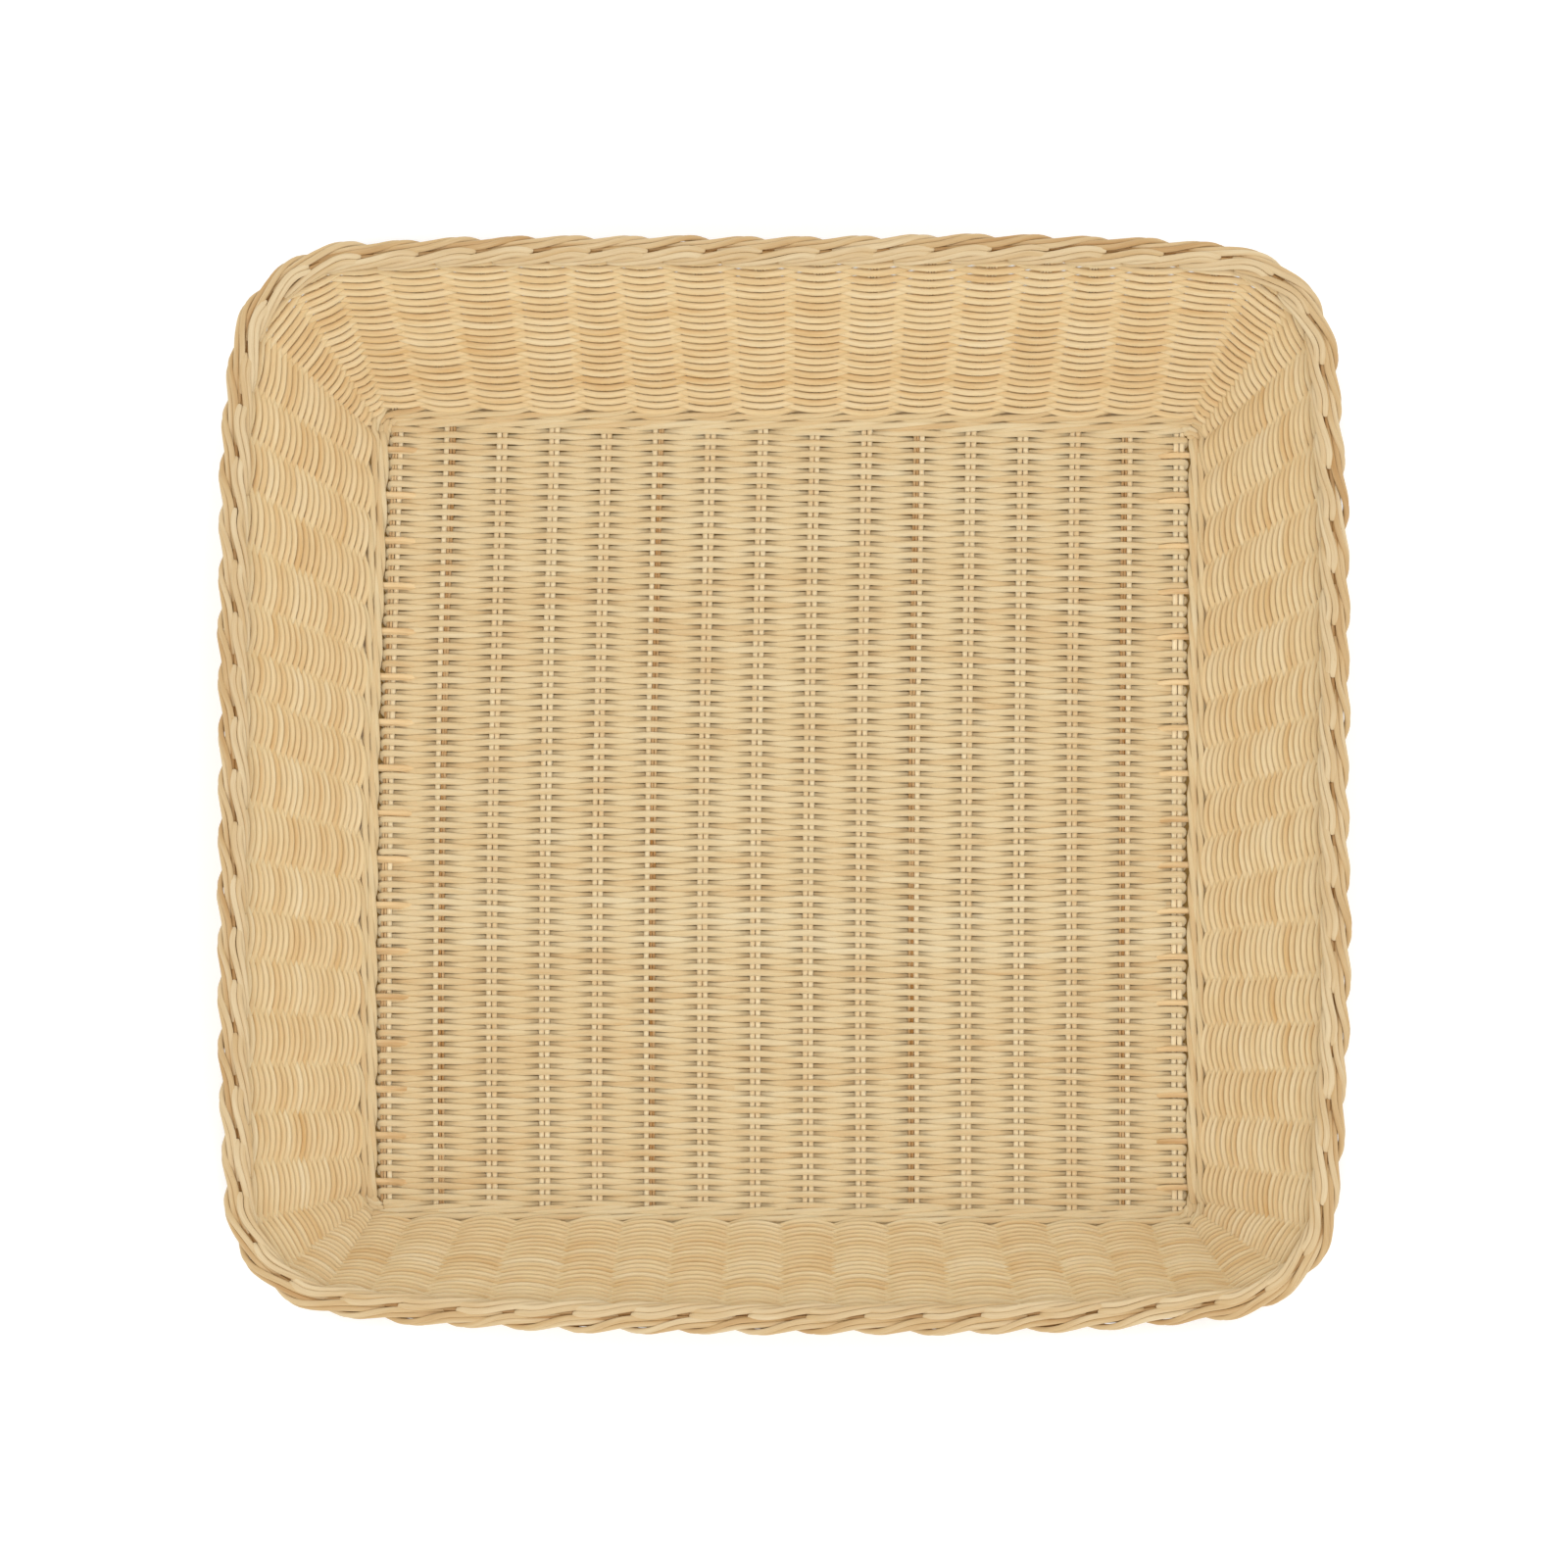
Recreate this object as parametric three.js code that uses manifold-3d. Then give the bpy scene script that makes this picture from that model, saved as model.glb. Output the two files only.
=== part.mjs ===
// A square, flared rattan basket: paired stakes, a woven floor, fluted woven walls and a rolled border.
// Millimetres, +Z up. The origin lies on the ground under the middle of the floor. The far wall is on +Y.

import * as THREE from 'three';
import { mergeVertices } from 'three/addons/utils/BufferGeometryUtils.js';
import Module from 'manifold-3d';

const wasm = await Module();
wasm.setup();

// Rods
const ROD = 2.5; // thickness of one round rod of rattan core
const GAP = 0.3; // clearance between pieces that touch
const THROUGH_STAKES = 16; // rod pairs that run up the near wall, across the floor and up the far wall
const SIDE_STAKES = 17; // rod pairs up each of the left and right walls
const CORNER_STAKES = 2; // rods up each corner, the two legs of one hairpin

// Floor and foot
const FLOOR_LENGTH = 366; // between the feet of the left and right walls
const FLOOR_WIDTH = 358; // between the feet of the near and far walls
const FOOT_RADIUS = 2.4 * ROD; // plan radius of the floor's corners, and the bend of a stake at the foot
const THROUGH_INSET = 2.54 * ROD; // from a side wall's foot to the outermost through stake
const SIDE_INSET = 4.96 * ROD; // from the far wall's foot to the outermost side stake
const SIDE_STAKE_FOOT = 16; // how far a side stake reaches in over the floor

// Rim
const HEIGHT = 119; // from the ground to the top of the border
const RIM_LENGTH = 495; // outside of the border, left to right
const RIM_WIDTH = 488; // outside of the border, near to far
const RIM_CORNER = 48; // plan radius of the border's middle line at a corner
const RIM_BOW = 2.5; // how far the middle of each side bows out
const BORDER = 13.5; // thickness of the rolled border

// Rolled border
const BORDER_LOBES = 4; // bundles of rods that show round the border's section
const BORDER_STEPS = 2; // sections along the border from one stake to the next
const BORDER_GROOVE = 1.6; // depth of the groove between two bundles
const POINTS_PER_LOBE = 2; // a crest and a groove

// Thickness of the weave
const RIDGE = 1.5 * ROD + GAP; // half, over a stake, where a weaver passes on either side
const VALLEY = 0.75 * ROD; // half, between two stakes, where the weavers cross
const LAND_SHARE = 0.15; // half width of a ridge, as a share of the stakes' pitch
const STAKE_WIDTH = 2 * ROD; // two rods side by side
const CHANNEL_WIDTH = STAKE_WIDTH + 2 * GAP;
const CHANNEL_DEPTH = ROD + 2 * GAP;
const CHANNEL_WALL = 0.25 * ROD; // least weave left beside a channel
const CELL_HALF = CHANNEL_WIDTH / 2 + CHANNEL_WALL; // least distance from a stake to the valley beside it

// Heights of the weave's middle surface
const LOW_FOOT = RIDGE; // along the near and far walls
const HIGH_FOOT = LOW_FOOT + ROD + GAP; // side stakes cross over the through stakes
const BORDER_HEIGHT = HEIGHT - BORDER / 2;
const WALL_TURN = Math.atan2(BORDER_HEIGHT - LOW_FOOT, (RIM_LENGTH - BORDER - FLOOR_LENGTH) / 2);

const FOOT_LOOP = { halfX: FLOOR_LENGTH / 2, halfY: FLOOR_WIDTH / 2, radius: FOOT_RADIUS };
const RIM_LOOP = {
  halfX: (RIM_LENGTH - BORDER) / 2 - RIM_BOW,
  halfY: (RIM_WIDTH - BORDER) / 2 - RIM_BOW,
  radius: RIM_CORNER,
};

// Around the basket, the stakes are numbered anticlockwise from the near end of the right wall.
const RIGHT_FIRST = 0;
const FAR_FIRST = RIGHT_FIRST + SIDE_STAKES + CORNER_STAKES;
const LEFT_FIRST = FAR_FIRST + THROUGH_STAKES + CORNER_STAKES;
const NEAR_FIRST = LEFT_FIRST + SIDE_STAKES + CORNER_STAKES;
const STAKES = NEAR_FIRST + THROUGH_STAKES + CORNER_STAKES;
const CORNER_FIRST = [FAR_FIRST, LEFT_FIRST, NEAR_FIRST, STAKES].map((next) => next - CORNER_STAKES);

const PALE = 0xe5cb9b;
const HONEY = 0xd9b27a;
const CREAM = 0xecd9b0;

// Plan curves

function quarterLength(loop) {
  return loop.halfX + loop.halfY - 2 * loop.radius + (Math.PI / 2) * loop.radius;
}

// A rectangle with round corners, walked anticlockwise from the middle of its right side.
function walk(loop, distance) {
  const quarter = quarterLength(loop);
  const turn = ((distance % (4 * quarter)) + 4 * quarter) % (4 * quarter);
  const quadrant = Math.min(3, Math.floor(turn / quarter));
  const mirrored = quadrant % 2 === 1;
  const rest = mirrored ? (quadrant + 1) * quarter - turn : turn - quadrant * quarter;
  const straightX = loop.halfX - loop.radius;
  const straightY = loop.halfY - loop.radius;
  const along = THREE.MathUtils.clamp(rest - straightY, 0, (Math.PI / 2) * loop.radius);
  const angle = along / loop.radius;
  const before = Math.min(rest, straightY);
  const after = Math.max(0, rest - straightY - (Math.PI / 2) * loop.radius);
  const signX = quadrant === 1 || quadrant === 2 ? -1 : 1;
  const signY = quadrant >= 2 ? -1 : 1;
  return {
    x: signX * (straightX + loop.radius * Math.cos(angle) - after),
    y: signY * (before + loop.radius * Math.sin(angle)),
    normal: new THREE.Vector3(signX * Math.cos(angle), signY * Math.sin(angle), 0),
  };
}

// Distances round a loop: every stake, and the valley after it. endX and endY are the last stakes of a side.
// Corner stakes share the stretch from one side's last stake to the next side's first, less the margins.
function stakeMarks(loop, endX, endY, margins) {
  const marks = [];
  const quarter = quarterLength(loop);
  for (let side = 0; side < 4; side++) {
    const alongY = side % 2 === 0;
    const [end, nextEnd] = alongY ? [endY, endX] : [endX, endY];
    const count = alongY ? SIDE_STAKES : THROUGH_STAKES;
    const middle = side * quarter;
    const pitch = (2 * end) / (count - 1);
    for (let stake = 0; stake < count; stake++) {
      marks.push(middle - end + stake * pitch);
      if (stake < count - 1) marks.push(middle - end + (stake + 0.5) * pitch);
    }
    const [marginBefore, marginAfter] = alongY ? margins : [...margins].reverse();
    const from = middle + end + marginBefore;
    const to = middle + quarter - nextEnd - marginAfter;
    const cell = (to - from) / CORNER_STAKES;
    for (let stake = 0; stake < CORNER_STAKES; stake++) {
      marks.push(from + stake * cell);
      marks.push(from + (stake + 0.5) * cell);
    }
    marks.push(to);
  }
  return marks;
}

function markAt(marks, loop, stake) {
  const position = 2 * stake;
  const turn = Math.floor(position / marks.length);
  const place = position - turn * marks.length;
  const low = Math.floor(place);
  const from = marks[low];
  const to = low + 1 < marks.length ? marks[low + 1] : marks[0] + 4 * quarterLength(loop);
  return turn * 4 * quarterLength(loop) + THREE.MathUtils.lerp(from, to, place - low);
}

const THROUGH_END = FLOOR_LENGTH / 2 - THROUGH_INSET;
const SIDE_END = FLOOR_WIDTH / 2 - SIDE_INSET;
const RIM_END_X = RIM_LOOP.halfX - RIM_CORNER;
const RIM_END_Y = RIM_LOOP.halfY - RIM_CORNER;
const RIM_MARGIN = ((Math.PI / 2) * RIM_CORNER) / (2 * CORNER_STAKES + 2);
const FOOT_MARKS = stakeMarks(FOOT_LOOP, THROUGH_END, SIDE_END, [
  Math.max(CELL_HALF, SIDE_INSET - FOOT_RADIUS),
  Math.max(CELL_HALF, THROUGH_INSET - FOOT_RADIUS),
]);
const RIM_MARKS = stakeMarks(RIM_LOOP, RIM_END_X, RIM_END_Y, [RIM_MARGIN, RIM_MARGIN]);

// Height of the weave's middle at the foot. It changes from one level to the other round each corner.
function footHeight(stake) {
  const wrapped = ((stake % STAKES) + STAKES) % STAKES;
  const half = STAKES / 2;
  const local = wrapped % half;
  const rightEnd = SIDE_STAKES - 1;
  const farStart = FAR_FIRST;
  const farEnd = FAR_FIRST + THROUGH_STAKES - 1;
  if (local <= rightEnd) return HIGH_FOOT;
  if (local < farStart) return THREE.MathUtils.mapLinear(local, rightEnd, farStart, HIGH_FOOT, LOW_FOOT);
  if (local <= farEnd) return LOW_FOOT;
  return THREE.MathUtils.mapLinear(local, farEnd, half, LOW_FOOT, HIGH_FOOT);
}

// Points of the weave's middle surface

function bendPoint(stake, turn) {
  const spot = walk(FOOT_LOOP, markAt(FOOT_MARKS, FOOT_LOOP, stake));
  const point = new THREE.Vector3(spot.x, spot.y, footHeight(stake));
  point.addScaledVector(spot.normal, FOOT_RADIUS * Math.sin(turn));
  point.z += FOOT_RADIUS * (1 - Math.cos(turn));
  return point;
}

function rimPoint(stake) {
  const spot = walk(RIM_LOOP, markAt(RIM_MARKS, RIM_LOOP, stake));
  const shareX = THREE.MathUtils.clamp(spot.x / RIM_END_X, -1, 1);
  const shareY = THREE.MathUtils.clamp(spot.y / RIM_END_Y, -1, 1);
  const bowX = RIM_BOW * Math.cos((shareY * Math.PI) / 2) * spot.normal.x;
  const bowY = RIM_BOW * Math.cos((shareX * Math.PI) / 2) * spot.normal.y;
  return new THREE.Vector3(spot.x + bowX, spot.y + bowY, BORDER_HEIGHT);
}

function wallDirection(stake) {
  return rimPoint(stake).sub(bendPoint(stake, WALL_TURN)).normalize();
}

// Levels: each gives the middle point over a stake, and the direction in which the stake runs on from there
const TANGENT_STEP = 0.05; // share of a stake's pitch, to either side of the point where a tangent is taken

function frameAt(level, stake) {
  const point = level.point(stake);
  const along = level.point(stake + TANGENT_STEP).sub(level.point(stake - TANGENT_STEP)).setZ(0).normalize();
  const outside = new THREE.Vector3().crossVectors(along, level.direction(stake)).normalize();
  return { point, along, outside };
}

function bendLevel(turn) {
  return {
    point: (stake) => bendPoint(stake, turn),
    direction: (stake) => {
      if (turn === WALL_TURN) return wallDirection(stake);
      const { normal } = walk(FOOT_LOOP, markAt(FOOT_MARKS, FOOT_LOOP, stake));
      return normal.clone().multiplyScalar(Math.cos(turn)).setZ(Math.sin(turn));
    },
  };
}

function wallLevel(fromFoot) {
  return {
    point: (stake) => bendPoint(stake, WALL_TURN).addScaledVector(wallDirection(stake), fromFoot),
    direction: wallDirection,
  };
}

const WALL_TOP = {
  point: (stake) => rimPoint(stake).addScaledVector(wallDirection(stake), -BORDER / 2 - GAP),
  direction: wallDirection,
};
const FOOT_LEVELS = [bendLevel(0), bendLevel(WALL_TURN)];
const WALL_LEVELS = [wallLevel(GAP), WALL_TOP];

function offset(frame, along, outside) {
  return frame.point.clone().addScaledVector(frame.along, along).addScaledVector(frame.outside, outside);
}

// Solids

function solidGeometry(points, triangles) {
  const geometry = new THREE.BufferGeometry();
  geometry.setAttribute('position', new THREE.Float32BufferAttribute(points.flatMap((p) => p.toArray()), 3));
  geometry.setIndex(triangles);
  return geometry;
}

function addQuad(triangles, a, b, c, d) {
  triangles.push(a, b, c, a, c, d);
}

// A rod or rod pair: a six-sided section, round at its two ends, carried through a list of frames.
function rodGeometry(frames, width, thickness = ROD) {
  const flat = (width - thickness) / 2 + thickness / 4;
  const section = [
    [-width / 2, 0],
    [-flat, -thickness / 2],
    [flat, -thickness / 2],
    [width / 2, 0],
    [flat, thickness / 2],
    [-flat, thickness / 2],
  ];
  return loft(frames.map((frame) => section.map(([a, b]) => offset(frame, a, b))));
}

// Closed sections of equal count, joined in order, with flat ends.
function loft(sections) {
  const count = sections[0].length;
  const triangles = [];
  for (let row = 0; row + 1 < sections.length; row++) {
    for (let side = 0; side < count; side++) {
      const next = (side + 1) % count;
      const start = row * count;
      addQuad(triangles, start + side, start + next, start + count + next, start + count + side);
    }
  }
  const last = (sections.length - 1) * count;
  for (let corner = 1; corner + 1 < count; corner++) {
    triangles.push(0, corner + 1, corner);
    triangles.push(last, last + corner, last + corner + 1);
  }
  return solidGeometry(sections.flat(), triangles);
}

// A frame turned half round the stake, for a rod that is followed from the floor up.
function turned(frame) {
  return { point: frame.point, along: frame.along.clone().negate(), outside: frame.outside };
}

function isCornerStake(stake) {
  return CORNER_FIRST.some((first) => stake >= first && stake < first + CORNER_STAKES);
}

// The channel that a stake runs through, as [along, outside] corners. A corner leg is one rod wide, the rest two.
function channelCorners(stake) {
  const along = (isCornerStake(stake) ? CHANNEL_DEPTH : CHANNEL_WIDTH) / 2;
  const outside = CHANNEL_DEPTH / 2;
  return [[-along, outside], [along, outside], [along, -outside], [-along, -outside]];
}

// Points across one flute, from the valley before a stake to its ridge's far edge: [stakes along, half thickness]
const FLUTE = [[-0.5, VALLEY], [-LAND_SHARE, RIDGE], [LAND_SHARE, RIDGE]];

// A closed band of weave between levels, ridged over each stake, with a channel where channelled(stake) is true
function weaveBand(levels, channelled) {
  const points = [];
  const keep = (point) => points.push(point) - 1;
  const rows = levels.map((level) => {
    const cells = [];
    for (let stake = 0; stake < STAKES; stake++) {
      const edges = FLUTE.map(([share, half]) => ({ frame: frameAt(level, stake + share), half }));
      cells.push({
        inner: edges.map(({ frame, half }) => keep(offset(frame, 0, -half))),
        outer: edges.map(({ frame, half }) => keep(offset(frame, 0, half))),
        channel: channelled(stake)
          ? channelCorners(stake).map(([a, b]) => keep(offset(frameAt(level, stake), a, b)))
          : [],
      });
    }
    return cells;
  });

  const triangles = [];
  const ringOf = (cells, skin) => cells.flatMap((cell) => cell[skin]);
  for (let row = 0; row + 1 < rows.length; row++) {
    const [outer, outerUp] = [ringOf(rows[row], 'outer'), ringOf(rows[row + 1], 'outer')];
    const [inner, innerUp] = [ringOf(rows[row], 'inner'), ringOf(rows[row + 1], 'inner')];
    outer.forEach((_, at) => {
      const next = (at + 1) % outer.length;
      addQuad(triangles, outer[at], outer[next], outerUp[next], outerUp[at]);
      addQuad(triangles, inner[next], inner[at], innerUp[at], innerUp[next]);
    });
    rows[row].forEach((cell, stake) => {
      const up = rows[row + 1][stake].channel;
      cell.channel.forEach((_, at) => {
        const next = (at + 1) % 4;
        addQuad(triangles, cell.channel[at], up[at], up[next], cell.channel[next]);
      });
    });
  }

  // The band's two edges, cell by cell: the flute's outline with the channel left open
  const edge = (row, stake, upward) => {
    const cell = rows[row][stake];
    const next = rows[row][(stake + 1) % STAKES];
    const outline = [...cell.outer, next.outer[0], next.inner[0], ...[...cell.inner].reverse()];
    const hole = [...cell.channel].reverse();
    const { point, along, outside } = frameAt(levels[row], stake);
    const flatten = (index) => {
      const arm = points[index].clone().sub(point);
      return new THREE.Vector2(arm.dot(outside), arm.dot(along));
    };
    const indices = [...outline, ...hole];
    const holes = hole.length ? [hole.map(flatten)] : [];
    for (const [a, b, c] of THREE.ShapeUtils.triangulateShape(outline.map(flatten), holes)) {
      triangles.push(indices[a], indices[upward ? b : c], indices[upward ? c : b]);
    }
  };
  for (let stake = 0; stake < STAKES; stake++) {
    edge(0, stake, false);
    edge(rows.length - 1, stake, true);
  }
  return solidGeometry(points, triangles);
}

// The rolled border: bundles of stake ends that wind round each other, a quarter turn from stake to stake.
function borderGeometry() {
  const sectionPoints = BORDER_LOBES * POINTS_PER_LOBE;
  const sections = STAKES * BORDER_STEPS;
  const points = [];
  for (let at = 0; at < sections; at++) {
    const stake = at / BORDER_STEPS;
    const middle = rimPoint(stake);
    const along = rimPoint(stake + TANGENT_STEP).sub(rimPoint(stake - TANGENT_STEP)).normalize();
    const outward = new THREE.Vector3(along.y, -along.x, 0);
    const wound = (stake * 2 * Math.PI) / BORDER_LOBES;
    for (let corner = 0; corner < sectionPoints; corner++) {
      const angle = wound + (corner / sectionPoints) * 2 * Math.PI;
      const radius = BORDER / 2 - (corner % POINTS_PER_LOBE === 0 ? 0 : BORDER_GROOVE);
      const point = middle.clone().addScaledVector(outward, radius * Math.cos(angle));
      point.z += radius * Math.sin(angle);
      points.push(point);
    }
  }
  const shift = (STAKES * POINTS_PER_LOBE) % sectionPoints;
  const triangles = [];
  for (let at = 0; at < sections; at++) {
    const closing = at === sections - 1;
    const start = at * sectionPoints;
    const nextStart = closing ? 0 : start + sectionPoints;
    for (let corner = 0; corner < sectionPoints; corner++) {
      const next = (corner + 1) % sectionPoints;
      const ahead = closing ? (corner + shift) % sectionPoints : corner;
      const aheadNext = closing ? (next + shift) % sectionPoints : next;
      addQuad(triangles, start + next, start + corner, nextStart + ahead, nextStart + aheadNext);
    }
  }
  return solidGeometry(points, triangles);
}

// Joining and cutting

const WELD = 1e-4; // vertices nearer than this are one
const CURVE_SEGMENTS = 4; // facets of a rounded corner of the floor

function toManifold(geometry) {
  const bare = geometry.clone();
  bare.deleteAttribute('normal');
  bare.deleteAttribute('uv');
  const merged = mergeVertices(bare, WELD);
  return new wasm.Manifold(new wasm.Mesh({
    numProp: 3,
    vertProperties: new Float32Array(merged.attributes.position.array),
    triVerts: new Uint32Array(merged.index.array),
  }));
}

function toGeometry(solid) {
  const mesh = solid.getMesh();
  const geometry = new THREE.BufferGeometry();
  geometry.setAttribute('position', new THREE.BufferAttribute(mesh.vertProperties, 3));
  geometry.setIndex(new THREE.BufferAttribute(mesh.triVerts, 1));
  return geometry;
}

function extrudeAlong(shape, length) {
  const settings = { depth: length, bevelEnabled: false, curveSegments: CURVE_SEGMENTS };
  return new THREE.ExtrudeGeometry(shape, settings);
}

// Stakes

function throughStake(number) {
  const near = NEAR_FIRST + number;
  const far = FAR_FIRST + THROUGH_STAKES - 1 - number;
  const rising = [...FOOT_LEVELS, WALL_TOP];
  const frames = [
    ...[...rising].reverse().map((level) => frameAt(level, near)),
    ...rising.map((level) => turned(frameAt(level, far))),
  ];
  return rodGeometry(frames, STAKE_WIDTH);
}

function sideStake(stake) {
  const rising = [...FOOT_LEVELS, WALL_TOP].map((level) => turned(frameAt(level, stake)));
  const inward = Math.sign(rising[0].point.x) * -SIDE_STAKE_FOOT;
  const foot = rising[0].point.clone().add(new THREE.Vector3(inward, 0, 0));
  return rodGeometry([{ ...rising[0], point: foot }, ...rising], STAKE_WIDTH);
}

// A block from one corner stake to the last, between two heights up the wall
function cornerBlock(first, heights, depth) {
  return loft(heights.map((height) => {
    const level = wallLevel(height);
    const [start, end] = [frameAt(level, first), frameAt(level, first + CORNER_STAKES - 1)];
    return [
      offset(start, 0, -depth / 2),
      offset(start, 0, depth / 2),
      offset(end, 0, depth / 2),
      offset(end, 0, -depth / 2),
    ];
  }));
}

// A hairpin stands on the foot wale, with one leg up each flute of the corner.
function cornerStake(first) {
  let hairpin = toManifold(cornerBlock(first, [GAP, GAP + ROD], ROD));
  for (let leg = 0; leg < CORNER_STAKES; leg++) {
    const frames = WALL_LEVELS.map((level) => turned(frameAt(level, first + leg)));
    hairpin = hairpin.add(toManifold(rodGeometry(frames, ROD)));
  }
  return toGeometry(hairpin);
}

// Weave

// The floor: fluted above and below over the through stakes, with a slot for the foot of each side stake
function floorMat() {
  const halfX = FLOOR_LENGTH / 2 - GAP;
  const halfY = FLOOR_WIDTH / 2 - GAP;
  const pitch = (2 * THROUGH_END) / (THROUGH_STAKES - 1);
  const edgeHalf = THREE.MathUtils.mapLinear(THROUGH_INSET - GAP, LAND_SHARE * pitch, pitch / 2, RIDGE, VALLEY);
  const upper = [[-halfX, edgeHalf]];
  for (let number = 0; number < THROUGH_STAKES; number++) {
    const x = -THROUGH_END + number * pitch;
    if (number > 0) upper.push([x - pitch / 2, VALLEY]);
    upper.push([x - LAND_SHARE * pitch, RIDGE], [x + LAND_SHARE * pitch, RIDGE]);
  }
  upper.push([halfX, edgeHalf]);
  const outline = [
    ...upper.map(([x, half]) => new THREE.Vector2(x, LOW_FOOT - half)),
    ...[...upper].reverse().map(([x, half]) => new THREE.Vector2(x, LOW_FOOT + half)),
  ];
  const board = extrudeAlong(new THREE.Shape(outline), 2 * halfY);
  board.rotateX(Math.PI / 2).translate(0, halfY, 0);

  const corners = new THREE.Shape();
  const round = FOOT_RADIUS + ROD;
  corners.absarc(halfX - round, halfY - round, round, 0, Math.PI / 2);
  corners.absarc(-halfX + round, halfY - round, round, Math.PI / 2, Math.PI);
  corners.absarc(-halfX + round, -halfY + round, round, Math.PI, 1.5 * Math.PI);
  corners.absarc(halfX - round, -halfY + round, round, 1.5 * Math.PI, 2 * Math.PI);
  const trim = extrudeAlong(corners, 4 * RIDGE).translate(0, 0, -RIDGE);
  let mat = toManifold(board).intersect(toManifold(trim));

  for (let number = 0; number < THROUGH_STAKES; number++) {
    const channel = new THREE.BoxGeometry(CHANNEL_WIDTH, FLOOR_WIDTH, CHANNEL_DEPTH);
    channel.translate(-THROUGH_END + number * pitch, 0, LOW_FOOT);
    mat = mat.subtract(toManifold(channel));
  }
  const slotLength = SIDE_STAKE_FOOT + 2 * GAP;
  const slotBottom = HIGH_FOOT - CHANNEL_DEPTH / 2;
  const sidePitch = (2 * SIDE_END) / (SIDE_STAKES - 1);
  for (let number = 0; number < SIDE_STAKES; number++) {
    for (const side of [-1, 1]) {
      const slot = new THREE.BoxGeometry(slotLength, CHANNEL_WIDTH, 2 * RIDGE);
      const x = side * (FLOOR_LENGTH / 2 - SIDE_STAKE_FOOT - GAP + slotLength / 2);
      slot.translate(x, -SIDE_END + number * sidePitch, slotBottom + RIDGE);
      mat = mat.subtract(toManifold(slot));
    }
  }
  return toGeometry(mat);
}

// The foot wale has no channel at the corners, because the hairpins stand on it.
function footWale() {
  return weaveBand(FOOT_LEVELS, (stake) => !isCornerStake(stake));
}

// The wall has a pocket at each corner for the hairpin's bend.
function wallWeave() {
  let weave = toManifold(weaveBand(WALL_LEVELS, () => true));
  for (const first of CORNER_FIRST) {
    const pocket = cornerBlock(first, [0, ROD + 2 * GAP], CHANNEL_DEPTH);
    weave = weave.subtract(toManifold(pocket));
  }
  return toGeometry(weave);
}

// Assembly

const basket = new THREE.Group();

function addPiece(name, geometry, colour) {
  const material = new THREE.MeshStandardMaterial({ color: colour, roughness: 0.7, metalness: 0 });
  geometry.computeVertexNormals();
  const mesh = new THREE.Mesh(geometry, material);
  mesh.name = name;
  basket.add(mesh);
}

const numbered = (number) => String(number + 1).padStart(2, '0');

addPiece('floor_mat', floorMat(), PALE);
for (let number = 0; number < THROUGH_STAKES; number++) {
  addPiece(`through_stake_${numbered(number)}`, throughStake(number), HONEY);
}
for (let number = 0; number < SIDE_STAKES; number++) {
  addPiece(`side_stake_right_${numbered(number)}`, sideStake(RIGHT_FIRST + number), HONEY);
  addPiece(`side_stake_left_${numbered(number)}`, sideStake(NEAR_FIRST - CORNER_STAKES - 1 - number), HONEY);
}
CORNER_FIRST.forEach((first, corner) => {
  addPiece(`corner_stake_${numbered(corner)}`, cornerStake(first), HONEY);
});
addPiece('foot_wale', footWale(), PALE);
addPiece('wall_weave', wallWeave(), PALE);
addPiece('border', borderGeometry(), CREAM);

export default basket;
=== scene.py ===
# A square, flared rattan basket with every rod of its weave, on a plain white ground.
# Metres, +Z up. The far wall is on +Y. Stakes count anticlockwise from the right wall's near end.

import math

import bpy
import numpy as np
from mathutils import Matrix, Vector

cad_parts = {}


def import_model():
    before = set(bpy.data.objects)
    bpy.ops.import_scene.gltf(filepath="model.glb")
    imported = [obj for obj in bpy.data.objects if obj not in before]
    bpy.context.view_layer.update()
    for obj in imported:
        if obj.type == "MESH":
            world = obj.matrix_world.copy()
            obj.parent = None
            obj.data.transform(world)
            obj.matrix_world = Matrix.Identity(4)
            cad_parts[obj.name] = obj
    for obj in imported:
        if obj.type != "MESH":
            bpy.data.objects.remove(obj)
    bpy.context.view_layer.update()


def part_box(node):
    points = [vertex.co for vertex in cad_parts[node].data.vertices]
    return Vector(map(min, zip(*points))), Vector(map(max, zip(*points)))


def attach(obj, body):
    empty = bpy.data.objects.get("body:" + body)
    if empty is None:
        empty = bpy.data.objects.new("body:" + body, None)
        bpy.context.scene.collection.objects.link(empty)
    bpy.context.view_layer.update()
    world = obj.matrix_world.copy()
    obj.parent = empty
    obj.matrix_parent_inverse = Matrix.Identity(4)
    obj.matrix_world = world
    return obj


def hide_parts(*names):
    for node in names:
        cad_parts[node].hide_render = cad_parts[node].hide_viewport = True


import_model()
rng = np.random.default_rng(7)

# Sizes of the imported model

MM = 0.001
ROD = 2.5 * MM
GAP = 0.3 * MM
THROUGH_STAKES = 16
SIDE_STAKES = 17
CORNER_STAKES = 2

border_low, border_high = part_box("border")
mat_low, mat_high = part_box("floor_mat")
FLOOR_LENGTH = mat_high.x - mat_low.x + 2 * GAP
FLOOR_WIDTH = mat_high.y - mat_low.y + 2 * GAP
RIM_LENGTH = border_high.x - border_low.x
RIM_WIDTH = border_high.y - border_low.y
HEIGHT = border_high.z
BORDER = border_high.z - border_low.z
THROUGH_END = -(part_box("through_stake_01")[1].x - ROD)
SIDE_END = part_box("side_stake_right_17")[0].y + ROD
STAKE_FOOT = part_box("side_stake_right_01")[0].x

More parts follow.
